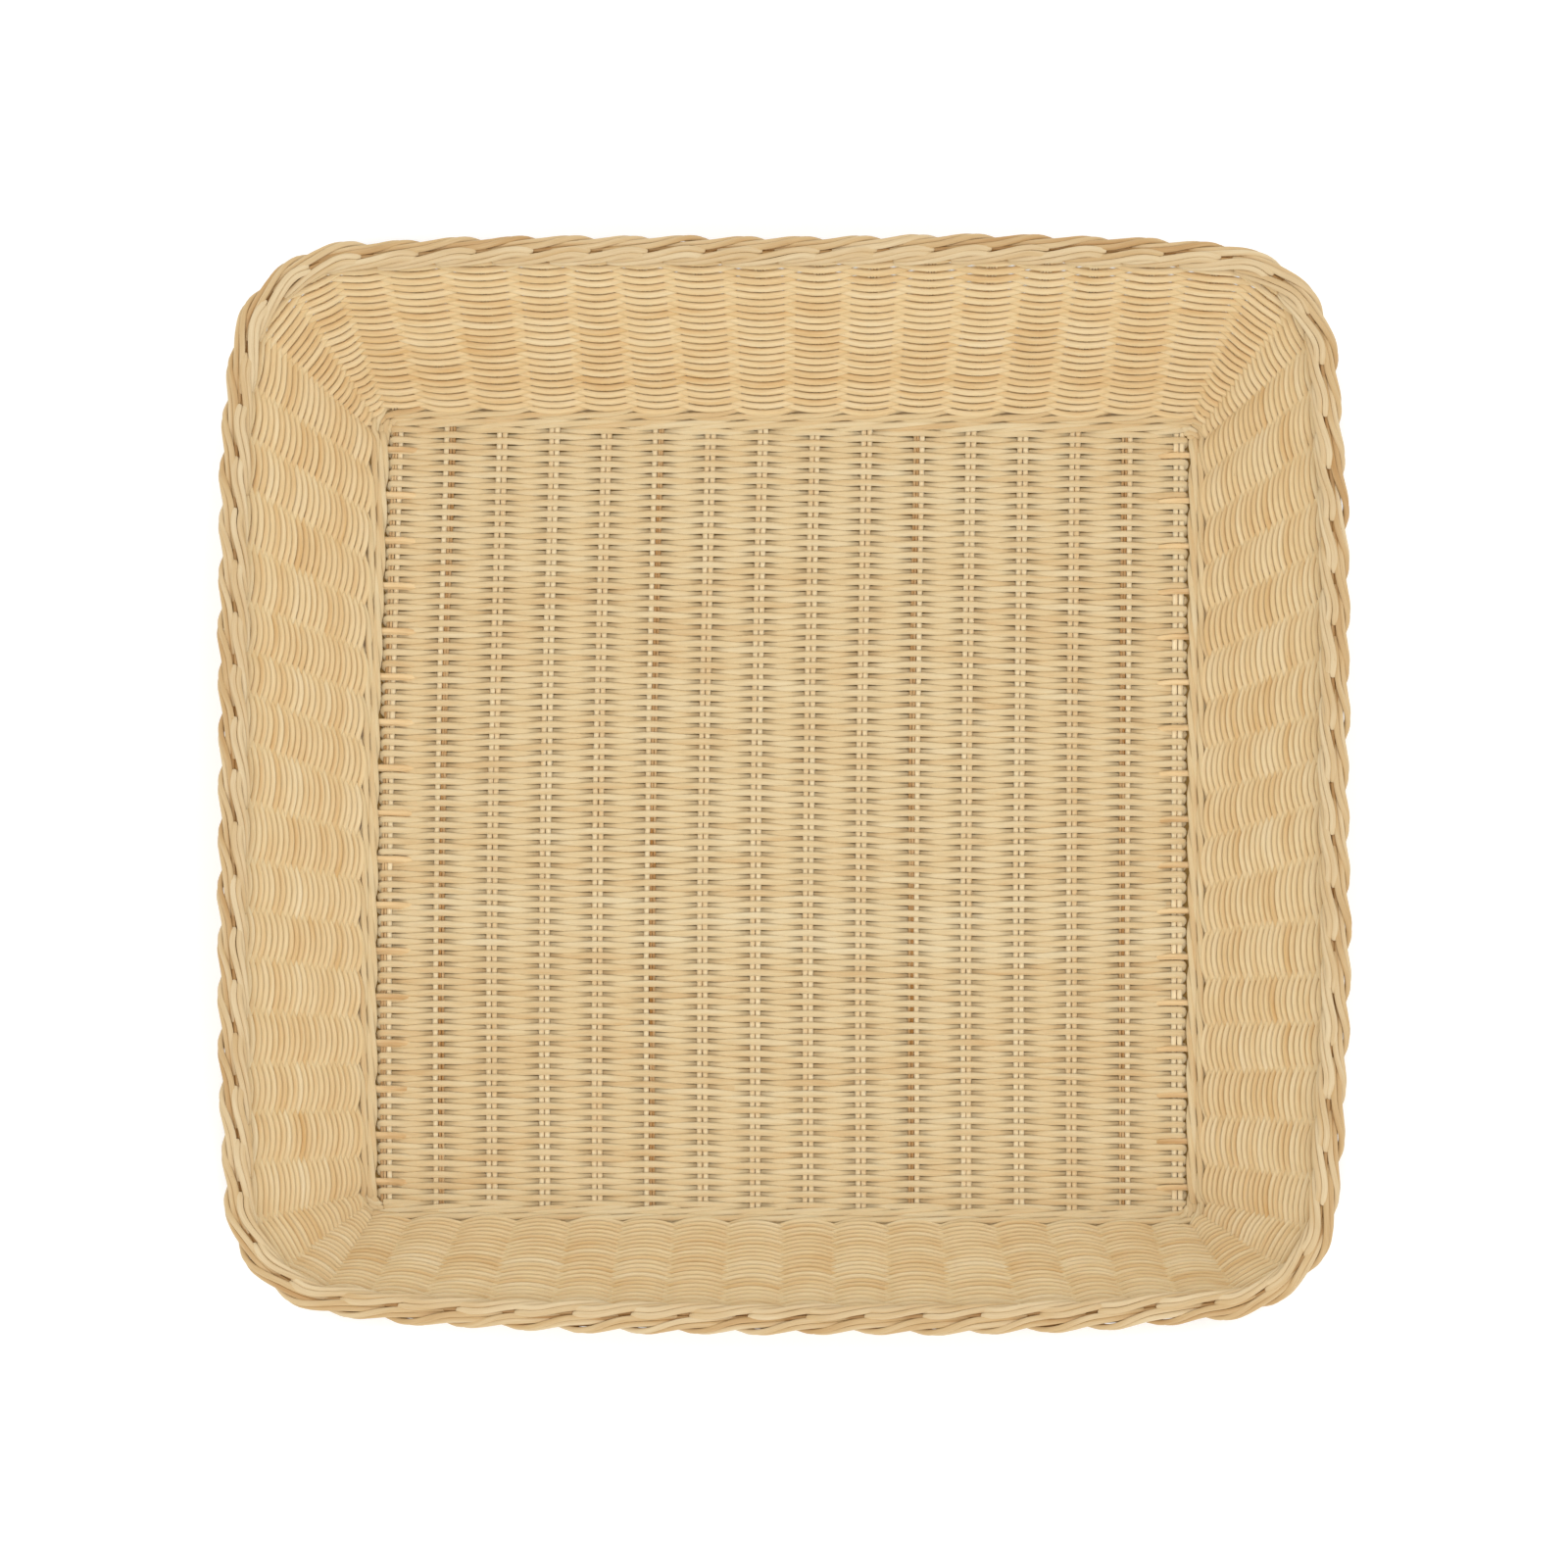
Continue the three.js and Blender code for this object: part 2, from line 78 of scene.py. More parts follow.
FOOT_RADIUS = 6 * MM
RIM_CORNER = 48 * MM
RIM_BOW = 2.5 * MM
CELL_HALF = 3.425 * MM
LOW_FOOT = 4.05 * MM
HIGH_FOOT = LOW_FOOT + ROD + GAP
BORDER_HEIGHT = HEIGHT - BORDER / 2
WALL_TURN = math.atan2(BORDER_HEIGHT - LOW_FOOT, (RIM_LENGTH - BORDER - FLOOR_LENGTH) / 2)

RIGHT_FIRST = 0
FAR_FIRST = RIGHT_FIRST + SIDE_STAKES + CORNER_STAKES
LEFT_FIRST = FAR_FIRST + THROUGH_STAKES + CORNER_STAKES
NEAR_FIRST = LEFT_FIRST + SIDE_STAKES + CORNER_STAKES
STAKES = NEAR_FIRST + THROUGH_STAKES + CORNER_STAKES
CORNER_FIRST = [following - CORNER_STAKES for following in (FAR_FIRST, LEFT_FIRST, NEAR_FIRST, STAKES)]

# Lets a range of steps reach its last value
PAST_END = 0.01
UP = np.array([0.0, 0.0, 1.0])


# Plan curves

class Loop:
    """A rectangle with round corners, walked anticlockwise from the middle of its right side."""

    def __init__(self, half_x, half_y, radius):
        self.half_x, self.half_y, self.radius = half_x, half_y, radius
        self.arc = math.pi / 2 * radius
        self.quarter = half_x + half_y - 2 * radius + self.arc

    def walk(self, distance):
        turn = np.mod(distance, 4 * self.quarter)
        quadrant = np.minimum(3, turn // self.quarter)
        mirrored = quadrant % 2 == 1
        rest = np.where(mirrored, (quadrant + 1) * self.quarter - turn, turn - quadrant * self.quarter)
        straight_x, straight_y = self.half_x - self.radius, self.half_y - self.radius
        angle = np.clip(rest - straight_y, 0, self.arc) / self.radius
        before = np.minimum(rest, straight_y)
        after = np.maximum(0, rest - straight_y - self.arc)
        sign_x = np.where((quadrant == 1) | (quadrant == 2), -1.0, 1.0)
        sign_y = np.where(quadrant >= 2, -1.0, 1.0)
        place = np.stack([
            sign_x * (straight_x + self.radius * np.cos(angle) - after),
            sign_y * (before + self.radius * np.sin(angle)),
        ], -1)
        normal = np.stack([sign_x * np.cos(angle), sign_y * np.sin(angle)], -1)
        return place, normal

    def mark(self, end_x, end_y, margins):
        """Keeps the distances round the loop of every stake, and of the valley after it."""
        marks = []
        for side in range(4):
            along_y = side % 2 == 0
            end, next_end = (end_y, end_x) if along_y else (end_x, end_y)
            count = SIDE_STAKES if along_y else THROUGH_STAKES
            middle = side * self.quarter
            marks.extend(np.linspace(middle - end, middle + end, 2 * count - 1))
            before, after = margins if along_y else margins[::-1]
            start = middle + end + before
            stop = middle + self.quarter - next_end - after
            marks.extend(np.linspace(start, stop, 2 * CORNER_STAKES + 1))
        self.marks = np.array(marks + [marks[0] + 4 * self.quarter])

    def at(self, stake):
        """Place and outward normal at a stake number, which may be a fraction."""
        turns = np.floor(stake / STAKES)
        rest = 2 * (stake - turns * STAKES)
        distance = np.interp(rest, np.arange(len(self.marks)), self.marks)
        return self.walk(distance + turns * 4 * self.quarter)


FOOT = Loop(FLOOR_LENGTH / 2, FLOOR_WIDTH / 2, FOOT_RADIUS)
FOOT.mark(THROUGH_END, SIDE_END, (
    max(CELL_HALF, FOOT.half_y - SIDE_END - FOOT_RADIUS),
    max(CELL_HALF, FOOT.half_x - THROUGH_END - FOOT_RADIUS),
))
RIM = Loop((RIM_LENGTH - BORDER) / 2 - RIM_BOW, (RIM_WIDTH - BORDER) / 2 - RIM_BOW, RIM_CORNER)
RIM_END_X, RIM_END_Y = RIM.half_x - RIM_CORNER, RIM.half_y - RIM_CORNER
RIM_MARGIN = RIM.arc / (2 * CORNER_STAKES + 2)
RIM.mark(RIM_END_X, RIM_END_Y, (RIM_MARGIN, RIM_MARGIN))


# The wall's middle surface: s counts stakes, v is the distance up from the floor's edge

BEND_LENGTH = FOOT_RADIUS * WALL_TURN
FLOOR_SWAY = 2.2 * MM
# Share of the sway at the floor's middle, and how much of it the right side lacks and the left side gains
MIDDLE_SWAY, SWAY_SLOPE = 0.65, 0.35


def foot_height(s):
    half = STAKES / 2
    ends = [0, SIDE_STAKES - 1, FAR_FIRST, FAR_FIRST + THROUGH_STAKES - 1, half]
    return np.interp(np.mod(s, half), ends, [HIGH_FOOT, HIGH_FOOT, LOW_FOOT, LOW_FOOT, HIGH_FOOT])


def sway(x, y):
    """How far the weave of the floor has moved to the left, most in its middle rows and at its left side."""
    return -FLOOR_SWAY * np.cos(math.pi * y / FLOOR_WIDTH) * (MIDDLE_SWAY - SWAY_SLOPE * x / THROUGH_END)


def bend_point(s, turn, inward=0.0):
    place, normal = FOOT.at(s)
    plan = place + normal * (FOOT_RADIUS * np.sin(turn) + inward)[..., None]
    plan[..., 0] += np.where(place[..., 0] < 0, sway(place[..., 0], place[..., 1]), 0)
    return np.concatenate([plan, (foot_height(s) + FOOT_RADIUS * (1 - np.cos(turn)))[..., None]], -1)


# Stake, and how far the rim strays outward there (mm)
RIM_STRAYS = [
    (3.5, 1.8), (8, -0.2), (12.5, 1.7), (16.8, -3.2), (18.6, -0.4), (22, 1.6), (26.5, -2.0), (32, -1.0),
    (34.6, -3.8), (36.5, 1.0), (38.5, 4.4), (41.5, 2.6), (45, 0.3), (50, -0.3), (55, -4.2), (58, 1.8),
    (63.5, 1.5), (68, 1.2), (71.6, -5.0), (73.2, -2.6),
]
# Stakes to either side over which a stray is averaged
STRAY_SHIFTS = (-1, 0, 1)
# Waves of leaning round the basket: how many, and where each starts (radians)
LEANS = ((11, 1.0), (17, 4.0))
# Size of each wave, in stakes
LEAN = 0.09


def rim_stray(s):
    """How far the hand-bent rim lies outside its plain curve."""
    stakes, strays = np.array(RIM_STRAYS).T
    total = sum(np.interp(s + shift, stakes, strays, period=STAKES) for shift in STRAY_SHIFTS)
    return total / len(STRAY_SHIFTS) * MM


def rim_point(s):
    place, normal = RIM.at(s)
    share = np.clip(place / np.array([RIM_END_X, RIM_END_Y]), -1, 1)
    bow = RIM_BOW * np.cos(share[..., ::-1] * math.pi / 2) * normal
    plan = place + bow + normal * rim_stray(s)[..., None]
    return np.concatenate([plan, np.full(place.shape[:-1] + (1,), BORDER_HEIGHT)], -1)


def leaning(s):
    """A stake number at the rim, for stakes that lean a little to one side or the other."""
    return s + LEAN * sum(np.sin(turns * s * 2 * math.pi / STAKES + start) for turns, start in LEANS)


EVERY_STAKE = np.arange(STAKES, dtype=float)
WALL_SPANS = rim_point(EVERY_STAKE) - bend_point(EVERY_STAKE, np.full(STAKES, WALL_TURN))
WALL_LENGTH = float(np.linalg.norm(WALL_SPANS, axis=1).mean())
RIM_LEVEL = BEND_LENGTH + WALL_LENGTH


def surface(s, v):
    s, v = np.broadcast_arrays(np.asarray(s, float), np.asarray(v, float))
    turn = np.clip(v / FOOT_RADIUS, 0, WALL_TURN)
    low = bend_point(s, turn, np.minimum(v, 0))
    share = np.maximum(0, (v - BEND_LENGTH) / WALL_LENGTH)[..., None]
    return low + share * (rim_point(leaning(s)) - low)


LEAST_LENGTH = 1e-12


def unit(vectors):
    return vectors / np.maximum(np.linalg.norm(vectors, axis=-1, keepdims=True), LEAST_LENGTH)


# Steps to either side of a point where a direction is taken: in stakes, and up the wall
S_STEP = 0.03
V_STEP = 0.4 * MM


def wall_frame(s, v):
    """Point, direction along the wall, outward normal, and the local pitch of the stakes."""
    s, v = np.broadcast_arrays(np.asarray(s, float), np.asarray(v, float))
    across = surface(s + S_STEP, v) - surface(s - S_STEP, v)
    rise = surface(s, v + V_STEP) - surface(s, v - V_STEP)
    pitch = np.linalg.norm(across, axis=-1) / (2 * S_STEP)
    return surface(s, v), unit(across), unit(np.cross(across, rise)), pitch


# Rods

BORDER_SIDES = 8
ROD_SIDES = 6
# A rod's tip, as shares of the rod's width
TIP_LENGTH = 0.18
TIP_WIDTH = 0.7
# How far along the grain a rod may start (metres)
GRAIN_SPAN = 20


class Rods:
    """Gathers tubes, then makes them one mesh with a tint and a grain coordinate at every vertex."""

    def __init__(self):
        self.points, self.faces, self.caps = [], [], []
        self.tints, self.grains = [], []
        self.count = 0

    def add(self, path, up, width, thickness=None, tint=0.5, sides=ROD_SIDES, round_ends=True):
        path = np.asarray(path, float)
        count = len(path)
        width = np.broadcast_to(np.asarray(width, float), (count,))
        thickness = width if thickness is None else np.broadcast_to(thickness, (count,))
        tangent = unit(np.gradient(path, axis=0))
        side = unit(np.cross(tangent, np.broadcast_to(up, path.shape)))
        lift = np.cross(side, tangent)
        tint = np.broadcast_to(np.asarray(tint, float), (count,))
        if round_ends:
            path, side, lift, width, thickness = self.rounded(path, tangent, side, lift, width, thickness)
            tint = np.concatenate([tint[:1], tint, tint[-1:]])
            count = len(path)
        angle = np.arange(sides) * 2 * math.pi / sides
        cos, sin = np.cos(angle), np.sin(angle)
        ring = path[:, None] + side[:, None] * (width[:, None] / 2 * cos)[..., None]
        ring = ring + lift[:, None] * (thickness[:, None] / 2 * sin)[..., None]
        steps = np.linalg.norm(np.diff(path, axis=0), axis=1)
        length = np.concatenate([[0], np.cumsum(steps)]) + rng.uniform(0, GRAIN_SPAN)
        grain = np.stack([
            np.repeat(length, sides),
            np.tile(cos, count) * ROD / 2,
            np.tile(sin, count) * ROD / 2,
        ], -1)
        ids = self.count + np.arange(count * sides).reshape(count, sides)
        after = np.roll(ids, -1, axis=1)
        self.faces.append(np.stack([ids[:-1], ids[1:], after[1:], after[:-1]], -1).reshape(-1, 4))
        self.caps += [ids[0].tolist(), ids[-1][::-1].tolist()]
        self.points.append(ring.reshape(-1, 3))
        self.tints.append(np.repeat(tint, sides))
        self.grains.append(grain)
        self.count += count * sides

    @staticmethod
    def rounded(path, tangent, side, lift, width, thickness):
        """Adds a short rounded tip to both ends."""
        first = path[0] - tangent[0] * width[0] * TIP_LENGTH
        last = path[-1] + tangent[-1] * width[-1] * TIP_LENGTH
        path = np.concatenate([[first], path, [last]])
        side = np.concatenate([side[:1], side, side[-1:]])
        lift = np.concatenate([lift[:1], lift, lift[-1:]])
        width = np.concatenate([width[:1] * TIP_WIDTH, width, width[-1:] * TIP_WIDTH])
        thickness = np.concatenate([thickness[:1] * TIP_WIDTH, thickness, thickness[-1:] * TIP_WIDTH])
        return path, side, lift, width, thickness

    def mesh(self, name):
        points = np.concatenate(self.points)
        quads = np.concatenate(self.faces)
        caps = np.array([corner for cap in self.caps for corner in cap])
        cap_sizes = np.array([len(cap) for cap in self.caps])
        corners = np.concatenate([quads.ravel(), caps])
        sizes = np.concatenate([np.full(len(quads), 4), cap_sizes])
        mesh = bpy.data.meshes.new(name)
        mesh.vertices.add(len(points))
        mesh.vertices.foreach_set("co", points.astype(np.float32).ravel())
        mesh.loops.add(len(corners))
        mesh.loops.foreach_set("vertex_index", corners.astype(np.int32))
        mesh.polygons.add(len(sizes))
        mesh.polygons.foreach_set("loop_start", (np.cumsum(sizes) - sizes).astype(np.int32))
        mesh.polygons.foreach_set("loop_total", sizes.astype(np.int32))
        mesh.polygons.foreach_set("use_smooth", np.arange(len(sizes)) < len(quads))
        mesh.update(calc_edges=True)
        tint = mesh.attributes.new("tint", "FLOAT", "POINT")
        tint.data.foreach_set("value", np.concatenate(self.tints).astype(np.float32))
        grain = mesh.attributes.new("grain", "FLOAT_VECTOR", "POINT")
        grain.data.foreach_set("vector", np.concatenate(self.grains).astype(np.float32).ravel())
        return mesh

    def finish(self, name, material, slot, *nodes):
        mesh = self.mesh(name)
        mesh.materials.append(material)
        piece = bpy.data.objects.new(name, mesh)
        bpy.context.scene.collection.objects.link(piece)
        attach(piece, "root")
        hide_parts(*nodes)


# Frequency and size of each part of a wave, beside the first
WAVE_PARTS = ((1.0, 1.0), (1.71, 0.7), (2.63, 0.5))
WAVE_LEVEL = 1.5


def wave(along, scale, size):
    """A smooth random wave along a rod, for the small errors of a hand weave."""
    starts = rng.uniform(0, 2 * math.pi, len(WAVE_PARTS))
    total = 0
    for (factor, share), start in zip(WAVE_PARTS, starts):
        total = total + share * np.sin(along * scale * factor + start)
    return size * total / WAVE_LEVEL


DRIFT_WAVES = 6
DRIFT_LEAST, DRIFT_MOST = 0.5, 1.6
DRIFT_LEVEL = 3


class Drift:
    """A smooth random field over rows and columns, so that neighbouring rows wander together."""

    def __init__(self, along_scale, across_scale, size):
        self.along = along_scale * rng.uniform(DRIFT_LEAST, DRIFT_MOST, DRIFT_WAVES)
        self.across = across_scale * rng.uniform(-DRIFT_MOST, DRIFT_MOST, DRIFT_WAVES)
        self.phase = rng.uniform(0, 2 * math.pi, DRIFT_WAVES)
        self.size = size

    def __call__(self, along, across):
        total = 0
        for a, b, phase in zip(self.along, self.across, self.phase):
            total = total + np.sin(a * along + b * across + phase)
        return self.size * total / DRIFT_LEVEL


def rod_tint(low, high):
    """A random tint between two limits: 0 is the deep colour and 1 the pale one."""
    return float(np.clip(rng.normal((low + high) / 2, (high - low) / 4), low, high))


# Shader nodes

# Places of the factor, the two colours and the result among a colour mix's sockets
MIX_FACTOR, MIX_FIRST, MIX_SECOND, MIX_RESULT = 0, 6, 7, 2
NOISE_ROUGHNESS = 0.55


def opaque(colour):
    """A colour with its alpha. A socket is left as it is."""
    return colour if isinstance(colour, bpy.types.NodeSocket) else (*colour, 1.0)


class Graph:
    """The shader nodes of a material or world."""

    def __init__(self, owner):
        owner.use_nodes = True
        self.nodes, self.links = owner.node_tree.nodes, owner.node_tree.links
        self.nodes.clear()

    def node(self, kind, inputs=None, **settings):
        """A new node. Each input is linked to a socket or set to a value."""
        made = self.nodes.new(kind)
        for key, value in settings.items():
            setattr(made, key, value)
        for key, value in (inputs or {}).items():
            if isinstance(value, bpy.types.NodeSocket):
                self.links.new(value, made.inputs[key])
            else:
                made.inputs[key].default_value = value
        return made

    def number(self, operation, first, second):
        return self.node("ShaderNodeMath", {0: first, 1: second}, operation=operation).outputs[0]

    def vector(self, operation, first, second=(0, 0, 0)):
        made = self.node("ShaderNodeVectorMath", {0: first, 1: second}, operation=operation)
        return made.outputs["Value" if operation == "LENGTH" else "Vector"]

    def mix(self, kind, factor, first, second):
        inputs = {MIX_FACTOR: factor, MIX_FIRST: opaque(first), MIX_SECOND: opaque(second)}
        made = self.node("ShaderNodeMix", inputs, data_type="RGBA", blend_type=kind)
        return made.outputs[MIX_RESULT]

    def remap(self, value, low, high, to_low=0.0, to_high=1.0):
        inputs = {"Value": value, "From Min": low, "From Max": high, "To Min": to_low, "To Max": to_high}
        return self.node("ShaderNodeMapRange", inputs).outputs["Result"]

    def noise(self, place, stretch, detail):
        inputs = {
            "Vector": self.vector("MULTIPLY", place, stretch),
            "Scale": 1.0,
            "Detail": detail,
            "Roughness": NOISE_ROUGHNESS,
        }
        return self.node("ShaderNodeTexNoise", inputs).outputs["Fac"]

    def attribute(self, name, output):
        return self.node("ShaderNodeAttribute", attribute_name=name).outputs[output]

    def sees(self, kind):
        """1 for rays of one kind, such as Is Camera Ray."""
        return self.node("ShaderNodeLightPath").outputs[kind]


# Materials

# Noise along and across the grain (waves per metre), and its detail
BLOTCH_NOISE = ((28.0, 260.0, 260.0), 3.0)
FIBRE_NOISE = ((90.0, 2600.0, 2600.0), 4.0)
PORE_NOISE = ((420.0, 900.0, 900.0), 2.0)
# Levels of the noises that are spread over their whole effect
WIDE = (0.3, 0.7)
FIBRE_LEVELS = (0.35, 0.65)
PORE_LEVELS = (0.72, 0.8)

BLOTCH_TINT = 0.24
FIBRE_SHADE = (0.93, 0.9, 0.85)
PORE_SHARE = 0.35
PORE_SHADE = 0.62
WHITE = (1.0, 1.0, 1.0)
# Painted shade in the gaps between rods: how far ambient occlusion looks and with how many samples, the
# occlusion level below which the colour darkens, and the brown it darkens towards
PAINTED_SHADE_REACH = 1.1 * MM
DEEP_PAINTED_SHADE_REACH = 3.2 * MM
PAINTED_SHADE_SAMPLES = 6
PAINTED_SHADE_OPEN = 0.38
PAINTED_SHADE_COLOUR = (0.42, 0.22, 0.03)
BUMP_STRENGTH = 0.35
BUMP_DEPTH = 0.12 * MM
SPECULAR = 0.3
DIFFUSE_ROUGHNESS = 0.8
ROUGHNESS_SWING = 0.08


def linear(red, green, blue):
    """An sRGB colour of 0 to 255 as linear values."""
    parts = [part / 255 for part in (red, green, blue)]
    return tuple(part / 12.92 if part <= 0.04045 else ((part + 0.055) / 1.055) ** 2.4 for part in parts)


def rod_colour(graph, grain, pale, mid, deep):
    """The tint of a rod, wandering along it in soft blotches."""
    blotches = graph.remap(graph.noise(grain, *BLOTCH_NOISE), *WIDE, -BLOTCH_TINT, BLOTCH_TINT)
    ramp = graph.node("ShaderNodeValToRGB", {
        "Fac": graph.number("ADD", graph.attribute("tint", "Fac"), blotches),
    })
    ramp.color_ramp.elements[0].color = opaque(deep)
    ramp.color_ramp.elements[1].color = opaque(pale)
    middle = ramp.color_ramp.elements.new(0.5)
    middle.color = opaque(mid)
    return ramp.outputs["Color"]


def rattan(name, colours, roughness, reach):
    """Peeled rattan core: blotches and pores, fine fibres in colour and bump, and painted shade darkening
    its crevices by ambient occlusion.
    """
    material = bpy.data.materials.new(name)
    graph = Graph(material)
    pale, mid, deep = [linear(*colour) for colour in colours]
    grain = graph.attribute("grain", "Vector")
    fibre = graph.noise(grain, *FIBRE_NOISE)
    fibres = graph.mix("MIX", graph.remap(fibre, *FIBRE_LEVELS), FIBRE_SHADE, WHITE)
    plain = graph.mix("MULTIPLY", 1.0, rod_colour(graph, grain, pale, mid, deep), fibres)
    pores = graph.remap(graph.noise(grain, *PORE_NOISE), *PORE_LEVELS, 0.0, PORE_SHARE)
    marked = graph.mix("MIX", pores, plain, tuple(PORE_SHADE * part for part in deep))
    # Painted shade: where ambient occlusion finds rods close by, the colour darkens towards a brown
    shade_occlusion = graph.node("ShaderNodeAmbientOcclusion", {"Distance": reach}, samples=PAINTED_SHADE_SAMPLES)
    depth = graph.remap(shade_occlusion.outputs["AO"], 0.0, PAINTED_SHADE_OPEN)
    with_painted_shade = graph.mix("MULTIPLY", 1.0, marked, graph.mix("MIX", depth, PAINTED_SHADE_COLOUR, WHITE))
    bump = graph.node("ShaderNodeBump", {"Strength": BUMP_STRENGTH, "Distance": BUMP_DEPTH, "Height": fibre})
    rough = graph.remap(fibre, *WIDE, roughness + ROUGHNESS_SWING, roughness - ROUGHNESS_SWING)
    shader = graph.node("ShaderNodeBsdfPrincipled", {
        "Base Color": with_painted_shade,
        "Roughness": rough,
        "Normal": bump.outputs["Normal"],
        "Specular IOR Level": SPECULAR,
        "Diffuse Roughness": DIFFUSE_ROUGHNESS,
    })
    graph.node("ShaderNodeOutputMaterial", {"Surface": shader.outputs["BSDF"]})
    return material


# Pale, middle and deep colours
WEAVE_COLOURS = ((244, 229, 193), (239, 217, 171), (226, 190, 130))
FLOOR_COLOURS = ((237, 224, 190), (231, 211, 168), (218, 184, 130))
STAKE_COLOURS = ((252, 239, 205), (241, 216, 168), (190, 138, 68))
ROLL_COLOURS = ((230, 211, 173), (217, 189, 141), (196, 154, 98))

# Each material's last number is how far its painted crevice shade reaches; the border's reaches further
WEAVE = rattan("rattan_weave", WEAVE_COLOURS, 0.56, PAINTED_SHADE_REACH)
FOOT_WEAVE = rattan("rattan_floor", FLOOR_COLOURS, 0.56, PAINTED_SHADE_REACH)
STAKE = rattan("rattan_stake", STAKE_COLOURS, 0.5, PAINTED_SHADE_REACH)
ROLL = rattan("rattan_border", ROLL_COLOURS, 0.54, DEEP_PAINTED_SHADE_REACH)


# Floor

# In this and the next sections, a TINTS pair is the least and most tint of a rod. A WOBBLE, SWELL or SHADES
# pair is the frequency and size of a wave in its place, width or tint, and a DRIFT adds one across the rows.
STEPS = 8
FLOOR_ROWS = 139
FLOOR_MARGIN = 2.9 * MM
FLOOR_PITCH = (FLOOR_WIDTH - 2 * FLOOR_MARGIN) / (FLOOR_ROWS - 1)
FLOOR_ROD = 3.05 * MM
FLOOR_THICK = 2.3 * MM
FLOOR_RISE = 2.5 * MM
# Makes a floor rod's tops narrower than a cosine's
FLOOR_PEAK = 0.8
FLOOR_DRIFT = (25, 0.09, 0.7 * MM)
FLOOR_WOBBLE = (60, 0.07 * MM)
FLOOR_SWELL = (9, 0.02)
FLOOR_TINTS = (0.48, 0.68)
FLOOR_SHADES = (5, 0.07)
# Rows that one weaver covers before the next is joined on
FLOOR_RUN = (5.5, 11)
DRIFT_FADE = 0.4
STAKE_PITCH = 2 * THROUGH_END / (THROUGH_STAKES - 1)
SIDE_PITCH = 2 * SIDE_END / (SIDE_STAKES - 1)
WRAP_CENTRE = THROUGH_END + 0.9 * MM
WRAP_REACH = 2.1 * MM
WRAP_STEPS = 7
WRAP_LEAD = 0.6
FOOT_ZONE = 10 * MM
FOOT_CLEAR = 2.2 * MM


def floor_row(row, steps):
    """One crossing of the floor, left to right: x, y and rise above the stakes' middle."""
    x = np.linspace(-WRAP_CENTRE, WRAP_CENTRE, steps)
    phase = np.clip((x + THROUGH_END) / STAKE_PITCH, 0, THROUGH_STAKES - 1)
    over = np.cos(math.pi * (phase + row))
    rise = FLOOR_RISE * over * np.abs(over) ** FLOOR_PEAK
    y = np.full(steps, (row - (FLOOR_ROWS - 1) / 2) * FLOOR_PITCH)
    nearest = np.round((y[0] + SIDE_END) / SIDE_PITCH) * SIDE_PITCH - SIDE_END
    if abs(y[0] - nearest) < FOOT_CLEAR:
        inside = np.clip((np.abs(x) - (THROUGH_END - FOOT_ZONE)) / FOOT_ZONE, 0, 1)
        rise = rise * (1 - inside) - FLOOR_RISE * inside
    return x, y, rise


def wrap(start, stop):
    """The weaver's turn round the outermost stake, from the end of one row to the start of the next."""
    turn = np.linspace(math.pi / 2, -math.pi / 2, WRAP_STEPS + 2)[1:-1]
    share = np.linspace(0, 1, WRAP_STEPS + 2)[1:-1]
    middle, half = (start[2] + stop[2]) / 2, (start[2] - stop[2]) / 2
    crossing = np.clip((1 + WRAP_LEAD) * share - (WRAP_LEAD if half > 0 else 0.0), 0, 1)
    return np.stack([
        np.sign(start[0]) * (WRAP_CENTRE + WRAP_REACH * np.cos(turn)),
        start[1] + (stop[1] - start[1]) * crossing,
        middle + half * np.sin(turn),
    ], -1)


def floor_path():
    """The whole serpentine of the floor's weaver, and its points for each row."""
    steps = STEPS * (THROUGH_STAKES - 1) + 1
    drift = Drift(*FLOOR_DRIFT)
    fade = np.sin(np.linspace(0, math.pi, FLOOR_ROWS)) ** DRIFT_FADE
    path, last = [], None
    for row in range(FLOOR_ROWS):
        x, y, rise = floor_row(row, steps)
        y = y + drift(x, row) * fade[row] + wave(x, *FLOOR_WOBBLE)
        line = np.stack([x, y, rise], -1)[:: 1 if row % 2 == 0 else -1]
        if last is not None:
            path.append(wrap(last, line[0]))
        path.append(line)
        last = line[-1]
    whole = np.concatenate(path)
    whole[:, 0] += sway(whole[:, 0], whole[:, 1])
    whole[:, 2] += LOW_FOOT
    return whole, steps + WRAP_STEPS


def floor_weavers():
    whole, per_row = floor_path()
    rods = Rods()
    start = 0
    while start < len(whole) - 1:
        stop = min(len(whole) - 1, start + int(rng.uniform(*FLOOR_RUN) * per_row))
        if len(whole) - stop < per_row:
            stop = len(whole) - 1
        points = whole[start:stop + 1]
        along = np.arange(len(points)) / per_row
        width = FLOOR_ROD * (1 + wave(along, *FLOOR_SWELL))
        tint = rod_tint(*FLOOR_TINTS) + wave(along, *FLOOR_SHADES)
        rods.add(points, UP, width, FLOOR_THICK, tint)
        start = stop
    rods.finish("floor_weavers", FOOT_WEAVE, "weave", "floor_mat")


# Walls

WALL_ROWS = 44
WALL_STRANDS = 2
WALL_FIRST = 11.4 * MM
WALL_PITCH = 2.5 * MM
WALL_ROD = 3.35 * MM
WALL_THICK = 2.7 * MM
WALL_RISE = 2.35 * MM
WALL_DRIFT = (0.5, 90, 0.45 * MM)
DRIFT_TURNS = 7
WALL_WOBBLE = (1.1, 0.1 * MM)
WALL_SWELL = (0.5, 0.03)
WALL_TINTS = (0.3, 0.7)
WALL_SHADES = (0.12, 0.08)
# Pairs of stakes that one weaver passes, and the fewest stakes left for the last one
WALL_RUN = (55, 100)
LEAST_RUN = 60
